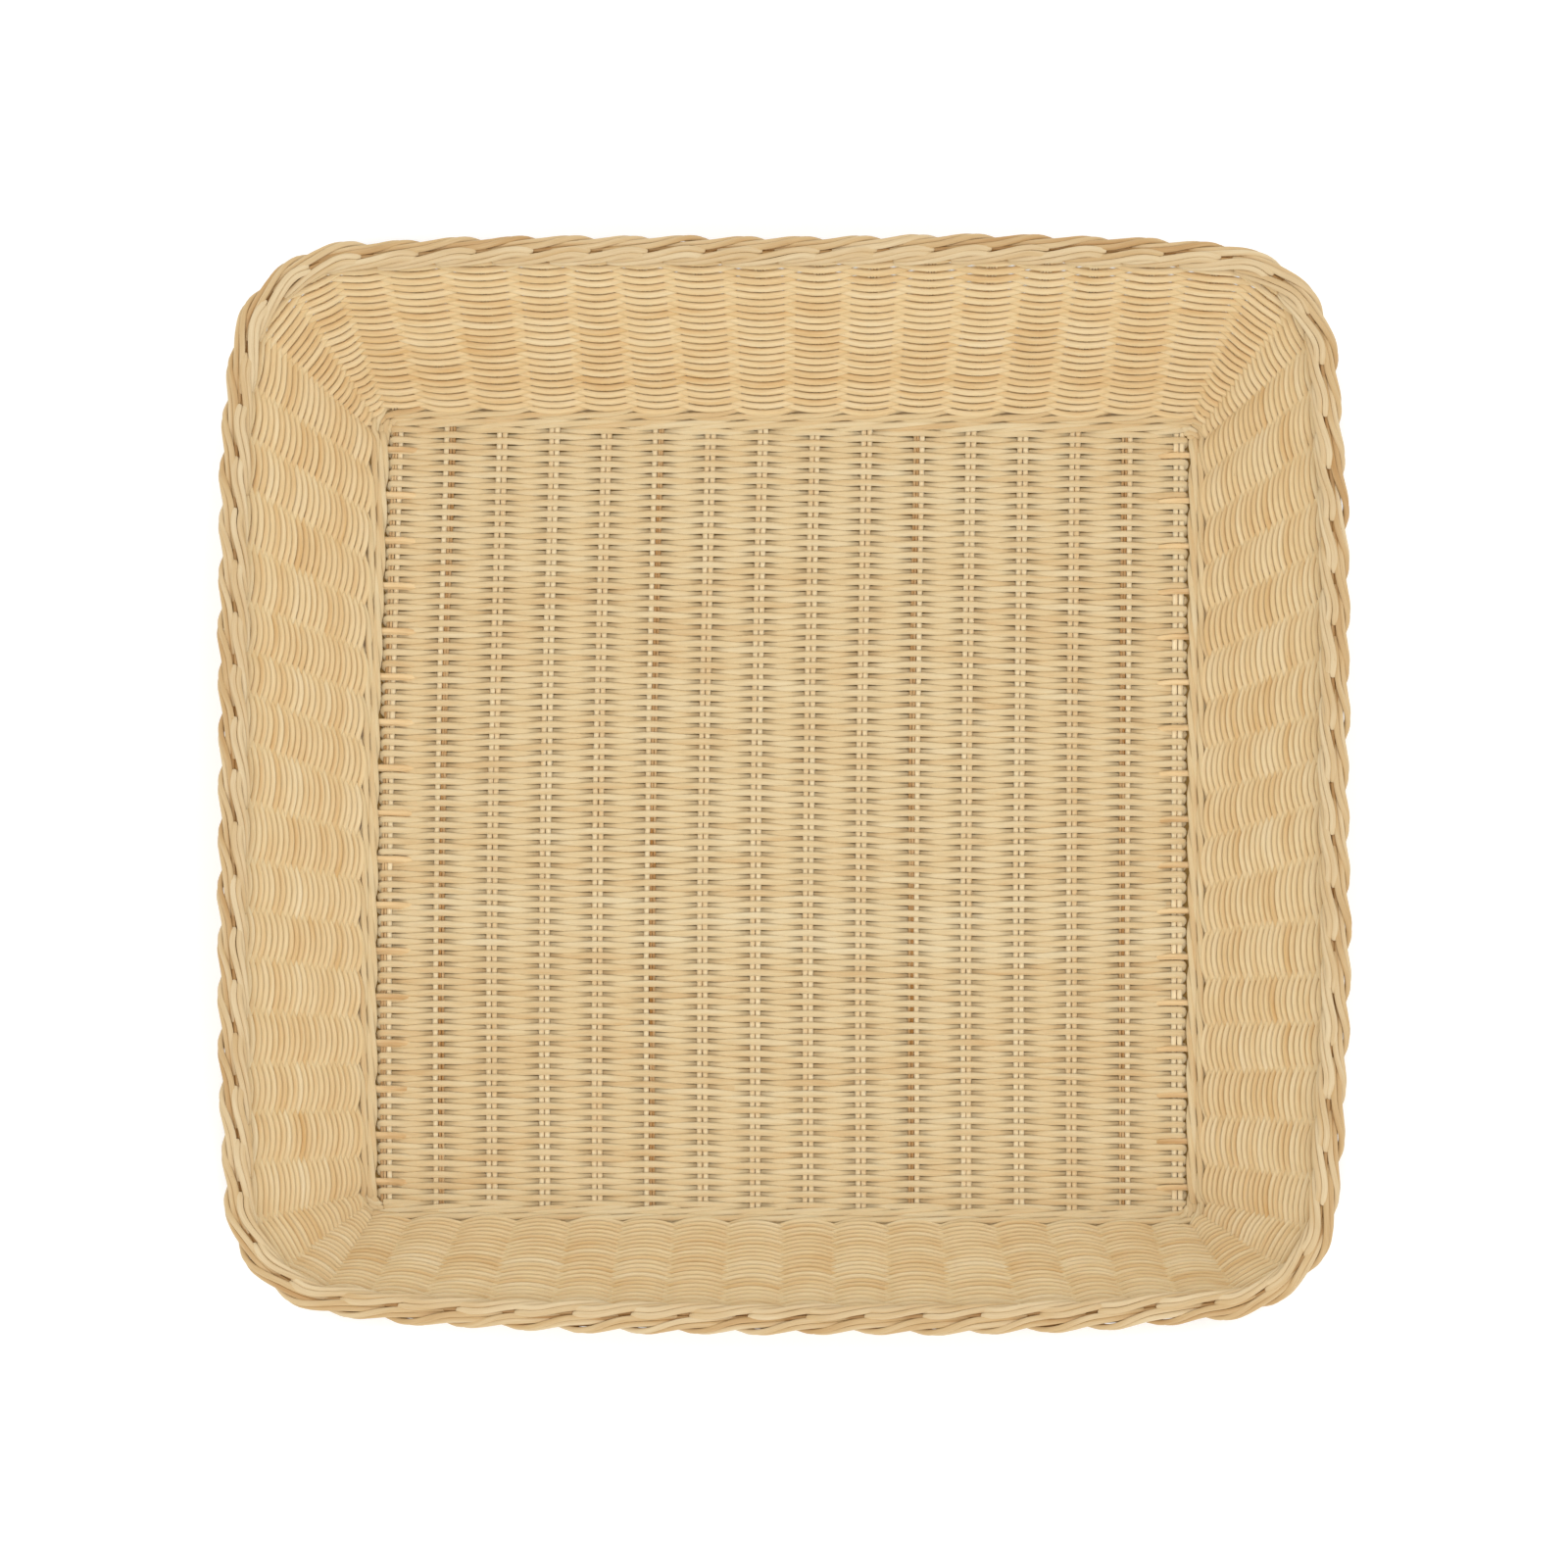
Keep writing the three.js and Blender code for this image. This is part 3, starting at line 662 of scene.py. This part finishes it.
# Where a weaver ends: stakes past the join, how far it is tucked aside, and over how many stakes
TAIL = 0.35
TUCK = 1.1 * MM
TUCK_STAKES = 1.1
TIGHT_PITCH = 12 * MM
LEAST_RISE = 0.3
STEP_SHARE = 0.16
LOOSE_LEVEL = 105 * MM
LOOSE_LENGTH = 10 * MM
LOOSE_GAIN = 0.9 * MM
LOOSE_POWER = 1.5
# Share of a plain cosine in the weave's profile
PLAIN_SHARE = 0.8


def plait(phase):
    """Weave profile: 1 on the stake that a rod passes over, -1 on the next."""
    round_wave = np.cos(math.pi * phase)
    return PLAIN_SHARE * round_wave + (1 - PLAIN_SHARE) * np.sin(math.pi / 2 * round_wave)


def rise_share(pitch):
    """Weavers lie flatter where the stakes stand close together."""
    return np.clip(pitch / TIGHT_PITCH, LEAST_RISE, 1.0)


def stepped(turns):
    """Counts half turns, level for most of each, then rising by one over the next strand's start."""
    whole = np.floor(turns)
    share = np.clip(1 - (1 - (turns - whole)) / STEP_SHARE, 0, 1)
    return whole + share * share * (3 - 2 * share)


def wall_level(s, first, drift):
    """Height up the wall of one weaver, with its tucked ends."""
    v = WALL_FIRST - WALL_PITCH / 2 + WALL_PITCH * stepped((s - first) * WALL_STRANDS / STAKES)
    v = v + LOOSE_GAIN * np.clip((v - LOOSE_LEVEL) / LOOSE_LENGTH, 0, 1) ** LOOSE_POWER
    v = v + drift(np.mod(s, STAKES) * 2 * math.pi / STAKES * DRIFT_TURNS, v) + wave(s, *WALL_WOBBLE)
    v = v + TUCK * np.clip(1 - (s - s[0]) / TUCK_STAKES, 0, 1) ** 2
    return v - TUCK * np.clip(1 - (s[-1] - s) / TUCK_STAKES, 0, 1) ** 2


def wall_weavers():
    rods = Rods()
    drift = Drift(*WALL_DRIFT)
    turns = WALL_ROWS / WALL_STRANDS
    for strand in range(WALL_STRANDS):
        first = strand * (STAKES // WALL_STRANDS)
        side = 1 if first % 2 == 0 else -1
        start = float(first)
        last = first + turns * STAKES
        while start < last:
            stop = start + 2 * int(rng.uniform(*WALL_RUN))
            if last - stop < LEAST_RUN:
                stop = last
            s = np.arange(start - TAIL, stop + TAIL + PAST_END, 1 / STEPS)
            point, _, outside, pitch = wall_frame(s, wall_level(s, first, drift))
            rise = WALL_RISE * plait(s) * side * rise_share(pitch)
            width = WALL_ROD * (1 + wave(s, *WALL_SWELL))
            tint = rod_tint(*WALL_TINTS) + wave(s, *WALL_SHADES)
            rods.add(point + outside * rise[:, None], outside, width, WALL_THICK, tint)
            start = stop
    rods.finish("wall_weavers", WEAVE, "weave", "wall_weave")


# Wale: three rods that each pass inside two stakes and outside the next, rising clockwise

FOOT_WALES = (0.9 * MM, 7.4 * MM)
WALE_STRANDS = 3
WALE_ROD = 3.0 * MM
WALE_RISE = 2.6 * MM
WALE_LIFT = 2.0 * MM
WALE_WOBBLE = (0.7, 0.2 * MM)
WALE_TINTS = (0.2, 0.65)
WALE_SHADES = (0.12, 0.1)


def wale(rods, level):
    start = float(rng.integers(0, STAKES))
    for strand in range(WALE_STRANDS):
        stop = start + STAKES + (strand + STAKES) % WALE_STRANDS
        s = np.arange(start + strand, stop + PAST_END, 1 / STEPS)
        q = np.mod(-s - strand, WALE_STRANDS)
        side = np.where(q <= 1, -1.0, -np.cos(math.pi * (q - 1)))
        shifted = np.mod(q + 0.5, WALE_STRANDS)
        climb = np.where(shifted <= 2, -np.cos(math.pi * shifted / 2), np.cos(math.pi * (shifted - 2)))
        v = level + WALE_LIFT * climb + wave(s, *WALE_WOBBLE)
        point, _, outside, pitch = wall_frame(s, v)
        path = point + outside * (WALE_RISE * side * rise_share(pitch))[:, None]
        rods.add(path, outside, WALE_ROD, WALL_THICK, rod_tint(*WALE_TINTS) + wave(s, *WALE_SHADES))


def foot_wale():
    rods = Rods()
    for level in FOOT_WALES:
        wale(rods, level)
    rods.finish("foot_wale_rods", FOOT_WEAVE, "weave", "foot_wale")


# Stakes

THIN_ROD = 1.3 * MM
THIN_RODS = 4
THIN_START = 2 * MM
THIN_TINTS = (0.5, 1.0)
WALL_STAKE_TOP = RIM_LEVEL - 4 * MM
WALL_STEPS = 14
# The short run of a floor rod up into the wall: start, end and steps
BEND_RUN = (1 * MM, 12 * MM, 6)


def wall_run(s, lateral, bottom, top, count):
    """A stake rod up the wall, a set distance to one side of the stake's middle."""
    v = np.linspace(bottom, top, count)
    point, along, outside, _ = wall_frame(np.full(count, float(s)), v)
    return point + along * lateral, outside


def thin_rods(rods, s):
    tints = [rod_tint(*THIN_TINTS) for _ in range(THIN_RODS)]
    for number, tint in enumerate(tints):
        lateral = (number - (THIN_RODS - 1) / 2) * THIN_ROD
        path, outside = wall_run(s, lateral, THIN_START, WALL_STAKE_TOP, WALL_STEPS)
        rods.add(path, outside, THIN_ROD, None, tint)


def downward(count):
    return np.tile(-UP, (count, 1))


BROWN_COLUMNS = (1, 5, 10, 14)
# Rods of a through stake: place across it (mm), width (mm) and tint
BROWN_RODS = ((-1.45, 2.5, 0.95), (0.45, 1.35, 0.2), (1.75, 1.3, 0.28))
FIRST_RODS = ((-1.9, 1.3, 0.3), (-0.6, 1.3, 0.45), (1.25, 2.4, 0.95))
PAIR_PLACES = (-1.28, 1.28)
PAIR_WIDTH = 2.5
PAIR_TINTS = (0.65, 1.0)
THROUGH_STEPS = 60
THROUGH_WOBBLE = (25, 0.1 * MM)
THROUGH_SHADES = (0.2, 0.05)


def through_rods(number):
    if number in BROWN_COLUMNS:
        side = 1 if number < THROUGH_STAKES / 2 else -1
        return [(lateral * side, width, tint) for lateral, width, tint in BROWN_RODS]
    if number == 0:
        return FIRST_RODS
    return [(lateral, PAIR_WIDTH, rod_tint(*PAIR_TINTS)) for lateral in PAIR_PLACES]


def through_stake(number):
    near, far = NEAR_FIRST + number, FAR_FIRST + THROUGH_STAKES - 1 - number
    x = -THROUGH_END + number * STAKE_PITCH
    rods = Rods()
    for lateral, width, tint in through_rods(number):
        y = np.linspace(-FOOT.half_y, FOOT.half_y, THROUGH_STEPS)
        offset = lateral * MM + wave(y, *THROUGH_WOBBLE)
        floor = np.stack([x + offset + sway(x, y), y, np.full(THROUGH_STEPS, LOW_FOOT)], -1)
        near_path, near_up = wall_run(near, lateral * MM, *BEND_RUN)
        far_path, far_up = wall_run(far, -lateral * MM, *BEND_RUN)
        path = np.concatenate([near_path[::-1], floor, far_path])
        ups = np.concatenate([near_up[::-1], downward(THROUGH_STEPS), far_up])
        rods.add(path, ups, width * MM, None, tint + wave(np.arange(len(path)), *THROUGH_SHADES))
    for s in (near, far):
        thin_rods(rods, s)
    name = f"through_stake_{number + 1:02d}"
    rods.finish(f"{name}_rods", STAKE, "stake", name)


# Rods of a side stake's foot: place across it, width and depth (mm)
FOOT_RODS = ((0.0, 2.7, 0.0), (0.9, 1.8, 1.3))
FOOT_STEPS = 12
FOOT_DIVE = 8 * MM
FOOT_SINK = 4.2 * MM
DIVE_POWER = 1.5
FOOT_TINTS = (0.42, 0.5)


def side_stake(name, s):
    """Two rods over the outermost through stake, which dive between the weavers, and four up the wall."""
    rods = Rods()
    edge = surface(float(s), 0.0)
    inward = -math.copysign(1.0, edge[0])
    reach = abs(edge[0]) - STAKE_FOOT
    steps = np.linspace(reach, 0, FOOT_STEPS)
    dip = np.clip((steps - reach + FOOT_DIVE) / FOOT_DIVE, 0, 1) ** DIVE_POWER * FOOT_SINK
    for lateral, width, depth in FOOT_RODS:
        wall_path, wall_up = wall_run(s, lateral * MM, *BEND_RUN)
        foot = np.stack([
            edge[0] + inward * steps,
            np.full(FOOT_STEPS, edge[1] - inward * lateral * MM),
            edge[2] - depth * MM - dip,
        ], -1)
        ups = np.concatenate([downward(FOOT_STEPS), wall_up])
        rods.add(np.concatenate([foot, wall_path]), ups, width * MM, None, rod_tint(*FOOT_TINTS))
    thin_rods(rods, s)
    rods.finish(f"{name}_rods", STAKE, "stake", name)


HAIRPIN_FOOT = 8.2 * MM
HAIRPIN_BEND = 3 * MM
HAIRPIN_STEPS = 9
HAIRPIN_TINTS = (0.4, 0.9)


def corner_stake(number):
    """A hairpin: down one flute of the corner, round a bend, and up the other."""
    first = CORNER_FIRST[number]
    legs = np.linspace(WALL_STAKE_TOP, HAIRPIN_FOOT + HAIRPIN_BEND, WALL_STEPS)
    turn = np.linspace(math.pi, 2 * math.pi, HAIRPIN_STEPS)[1:-1]
    v = np.concatenate([legs, HAIRPIN_FOOT + HAIRPIN_BEND + HAIRPIN_BEND * np.sin(turn), legs[::-1]])
    bend = first + 0.5 + 0.5 * np.cos(turn)
    s = np.concatenate([np.full(WALL_STEPS, float(first)), bend, np.full(WALL_STEPS, float(first + 1))])
    point, _, outside, _ = wall_frame(s, v)
    rods = Rods()
    rods.add(point, outside, ROD, None, rod_tint(*HAIRPIN_TINTS))
    name = f"corner_stake_{number + 1:02d}"
    rods.finish(f"{name}_rod", STAKE, "stake", name)


# Border

def spline(keys, at):
    """Smooth values through (position, value, ...) keys."""
    keys = np.array(keys, float)
    x, values = keys[:, 0], keys[:, 1:]
    slopes = np.gradient(values, x, axis=0)
    spot = np.clip(np.searchsorted(x, at) - 1, 0, len(x) - 2)
    width = x[spot + 1] - x[spot]
    t = ((at - x[spot]) / width)[:, None]
    width = width[:, None]
    a, b = values[spot], values[spot + 1]
    return ((2 * t**3 - 3 * t**2 + 1) * a + (t**3 - 2 * t**2 + t) * width * slopes[spot]
            + (-2 * t**3 + 3 * t**2) * b + (t**3 - t**2) * width * slopes[spot + 1])


def rim_frame(s):
    across = rim_point(s + S_STEP) - rim_point(s - S_STEP)
    along = unit(across)
    outward = np.stack([along[:, 1], -along[:, 0], np.zeros(len(s))], -1)
    return rim_point(s), outward


def spokes(outward, angle):
    """Directions from the roll's middle: 0 points out of the basket and a quarter turn points up."""
    return outward * np.cos(angle)[:, None] + UP * np.sin(angle)[:, None]


BORDER_ROD = 2.7 * MM
BUNDLE_RODS = 2
BUNDLE_STEP = 1 / 12
NOTCH = -0.25
SEAM_START = 0.3
# Stakes passed, angle round the roll (degrees: 0 faces out and 90 up) and distance from its middle (mm)
OUTER_KEYS = [
    (-0.35, -105, 3.3), (-0.1, -74, 4.0), (0.1, -42, 4.8), (0.3, -12, 5.75), (0.5, 8, 6.05), (0.8, 38, 5.85),
    (1.1, 56, 5.35), (1.35, 61, 4.85), (1.6, 65, 4.2), (1.8, 69, 3.6), (2.0, 73, 3.0),
]
INNER_KEYS = [
    (-0.06, 110, 4.2), (0.04, 105, 5.5), (0.18, 101, 6.2), (0.42, 106, 6.15), (0.62, 117, 5.9),
    (0.85, 131, 5.6), (1.1, 144, 5.4), (1.4, 160, 5.0), (1.6, 174, 4.2),
]
# Distance between the two rods of a bundle (mm), and their tints
OUTER_BUNDLE = (OUTER_KEYS, 2.6, (0.25, 0.85))
INNER_BUNDLE = (INNER_KEYS, 2.5, (0.6, 1.0))
# Random turn (radians) and swelling (mm) of a bundle
BUNDLE_TURN = 0.035
BUNDLE_SWELL = 0.22
SPREAD_RADIUS = 4 * MM
TURN_WOBBLE = (1.8, 0.025)
LIFT_WOBBLE = (2.0, 0.15 * MM)
BUNDLE_SHADES = (1.5, 0.08)
ROD_SIZES = (0.94, 1.06)
CORE_RODS = 8
CORE_RADIUS = 3.2 * MM
CORE_STEP = 1 / 4
# The core rods are real, but their deep tint is painted shade, so the openings between the bundles look deep
PAINTED_SHADE_CORE_TINT = 0.1


def bundle(rods, stake, keys, spread, tints):
    """Rods side by side, wound round the roll from where a stake comes up."""
    u = np.arange(keys[0][0], keys[-1][0] + PAST_END, BUNDLE_STEP)
    values = spline(keys, u)
    theta, radius = np.radians(values[:, 0]), values[:, 1] * MM
    middle, outward = rim_frame(stake + u)
    shift = rng.normal(0, BUNDLE_TURN)
    swell = rng.normal(0, BUNDLE_SWELL) * MM
    for number in range(BUNDLE_RODS):
        lateral = (number - (BUNDLE_RODS - 1) / 2) * spread
        angle = theta + lateral * MM / np.maximum(radius, SPREAD_RADIUS) + shift + wave(u, *TURN_WOBBLE)
        lift = radius + swell + wave(u, *LIFT_WOBBLE)
        spoke = spokes(outward, angle)
        width = BORDER_ROD * rng.uniform(*ROD_SIZES)
        tint = rod_tint(*tints) + wave(u, *BUNDLE_SHADES)
        rods.add(middle + spoke * lift[:, None], spoke, width, None, tint, sides=BORDER_SIDES)


def border_core(rods):
    """Rods along the whole rim inside the roll, each turning into the next one's place."""
    s = np.arange(0, STAKES + PAST_END, CORE_STEP)
    middle, outward = rim_frame(s)
    for number in range(CORE_RODS):
        spoke = spokes(outward, 2 * math.pi * (number + s / CORE_RODS) / CORE_RODS)
        # Deepest tint, as painted shade in the roll's openings
        rods.add(middle + spoke * CORE_RADIUS, spoke, BORDER_ROD, None, PAINTED_SHADE_CORE_TINT, round_ends=False)


def border():
    rods = Rods()
    for stake in range(STAKES):
        bundle(rods, stake + NOTCH, *OUTER_BUNDLE)
        bundle(rods, stake + NOTCH + SEAM_START, *INNER_BUNDLE)
    border_core(rods)
    rods.finish("border_rods", ROLL, "border", "border")


# Ground, light and camera

GROUND_SIZE = 60
GROUND_DROP = 0.2 * MM
GROUND_COLOUR = (0.86, 0.86, 0.86)
# Painted shadow: a brown patch on the ground under the basket and a little past its foot, which darkens what
# shows through the floor's slots and the foot's gaps
PAINTED_SHADOW_COLOUR = (0.5, 0.31, 0.1)
PAINTED_SHADOW_MARGIN = 14 * MM
PAINTED_SHADOW_CORNER = 16 * MM
PAINTED_SHADOW_FADE = 8 * MM
# The camera sees the ground brighter, except behind the basket: a rectangle with margins past the
# rim's size, which lies a little to the far side
GLOW = 0.34
GLOW_MARGINS = (6.5 * MM, 6.8 * MM)
GLOW_SHIFT = 17.3 * MM
GLOW_CORNER = 70 * MM
GLOW_FADE = 20 * MM


def outside_block(graph, half_x, half_y, middle_y, radius, fade):
    """0 well inside a round-cornered rectangle on the ground, rising to 1 at its edge."""
    place = graph.node("ShaderNodeTexCoord").outputs["Object"]
    shifted = graph.vector("SUBTRACT", place, (0, middle_y, 0))
    past = graph.vector("SUBTRACT", graph.vector("ABSOLUTE", shifted), (half_x - radius, half_y - radius, 0))
    return graph.remap(graph.vector("LENGTH", graph.vector("MAXIMUM", past)), radius - fade, radius)


def ground_material():
    material = bpy.data.materials.new("ground")
    graph = Graph(material)
    # Painted shadow: brown under the basket, fading to the ground's own colour past the foot
    shadow_x, shadow_y = FOOT.half_x + PAINTED_SHADOW_MARGIN, FOOT.half_y + PAINTED_SHADOW_MARGIN
    past_painted_shadow = outside_block(graph, shadow_x, shadow_y, 0, PAINTED_SHADOW_CORNER, PAINTED_SHADOW_FADE)
    colour = graph.mix("MIX", past_painted_shadow, PAINTED_SHADOW_COLOUR, GROUND_COLOUR)
    glow_x, glow_y = RIM_LENGTH / 2 + GLOW_MARGINS[0], RIM_WIDTH / 2 + GLOW_MARGINS[1]
    past_rim = outside_block(graph, glow_x, glow_y, GLOW_SHIFT, GLOW_CORNER, GLOW_FADE)
    seen = graph.number("MULTIPLY", graph.sees("Is Camera Ray"), past_rim)
    diffuse = graph.node("ShaderNodeBsdfDiffuse", {"Color": colour})
    glow = graph.node("ShaderNodeEmission", {"Strength": graph.number("MULTIPLY", seen, GLOW)})
    both = graph.node("ShaderNodeAddShader", {0: diffuse.outputs[0], 1: glow.outputs[0]})
    graph.node("ShaderNodeOutputMaterial", {"Surface": both.outputs[0]})
    return material


def ground():
    bpy.ops.mesh.primitive_plane_add(size=GROUND_SIZE, location=(0, 0, -GROUND_DROP))
    plane = bpy.context.object
    plane.name = "ground"
    plane.data.materials.append(ground_material())


# Strength of the white sky as a light. The camera and glossy rays see it at full strength.
SKY = 0.7


def world():
    made = bpy.data.worlds.new("studio")
    bpy.context.scene.world = made
    graph = Graph(made)
    seen = graph.number("MAXIMUM", graph.sees("Is Camera Ray"), graph.sees("Is Glossy Ray"))
    strength = graph.remap(seen, 0.0, 1.0, SKY, 1.0)
    background = graph.node("ShaderNodeBackground", {"Color": opaque(WHITE), "Strength": strength})
    graph.node("ShaderNodeOutputWorld", {"Surface": background.outputs[0]})


def direction(azimuth, elevation):
    """Towards a lamp or camera: azimuth 0 is the near side, and 90 the right (degrees)."""
    a, e = math.radians(azimuth), math.radians(elevation)
    return Vector((math.sin(a) * math.cos(e), -math.cos(a) * math.cos(e), math.sin(e)))


KEY_STRENGTH = 1.34
KEY_AZIMUTH = 11
KEY_ELEVATION = 76
KEY_SPREAD = 42


def key_light():
    data = bpy.data.lights.new("key", "SUN")
    data.energy = KEY_STRENGTH
    data.angle = math.radians(KEY_SPREAD)
    lamp = bpy.data.objects.new("key", data)
    bpy.context.scene.collection.objects.link(lamp)
    lamp.rotation_euler = direction(KEY_AZIMUTH, KEY_ELEVATION).to_track_quat("Z", "Y").to_euler()


CAMERA_DISTANCE = 4.5
CAMERA_ELEVATION = 80.59
CAMERA_AZIMUTH = 2.44
CAMERA_ROLL = -1.95
CAMERA_LENS = 229.4
CAMERA_SENSOR = 36
CAMERA_TARGET = (-0.0008, 0.0157, 0.0)


def camera():
    data = bpy.data.cameras.new("camera")
    data.lens = CAMERA_LENS
    data.sensor_width = CAMERA_SENSOR
    made = bpy.data.objects.new("camera", data)
    bpy.context.scene.collection.objects.link(made)
    back = direction(CAMERA_AZIMUTH, CAMERA_ELEVATION)
    turn = (-back).to_track_quat("-Z", "Y").to_matrix() @ Matrix.Rotation(math.radians(CAMERA_ROLL), 3, "Z")
    made.matrix_world = Matrix.Translation(Vector(CAMERA_TARGET) + back * CAMERA_DISTANCE) @ turn.to_4x4()
    bpy.context.scene.camera = made


floor_weavers()
wall_weavers()
foot_wale()
for column in range(THROUGH_STAKES):
    through_stake(column)
for place in range(SIDE_STAKES):
    side_stake(f"side_stake_right_{place + 1:02d}", RIGHT_FIRST + place)
    side_stake(f"side_stake_left_{place + 1:02d}", NEAR_FIRST - CORNER_STAKES - 1 - place)
for corner in range(len(CORNER_FIRST)):
    corner_stake(corner)
border()
ground()
world()
key_light()
camera()
bpy.context.scene.view_settings.view_transform = "Standard"
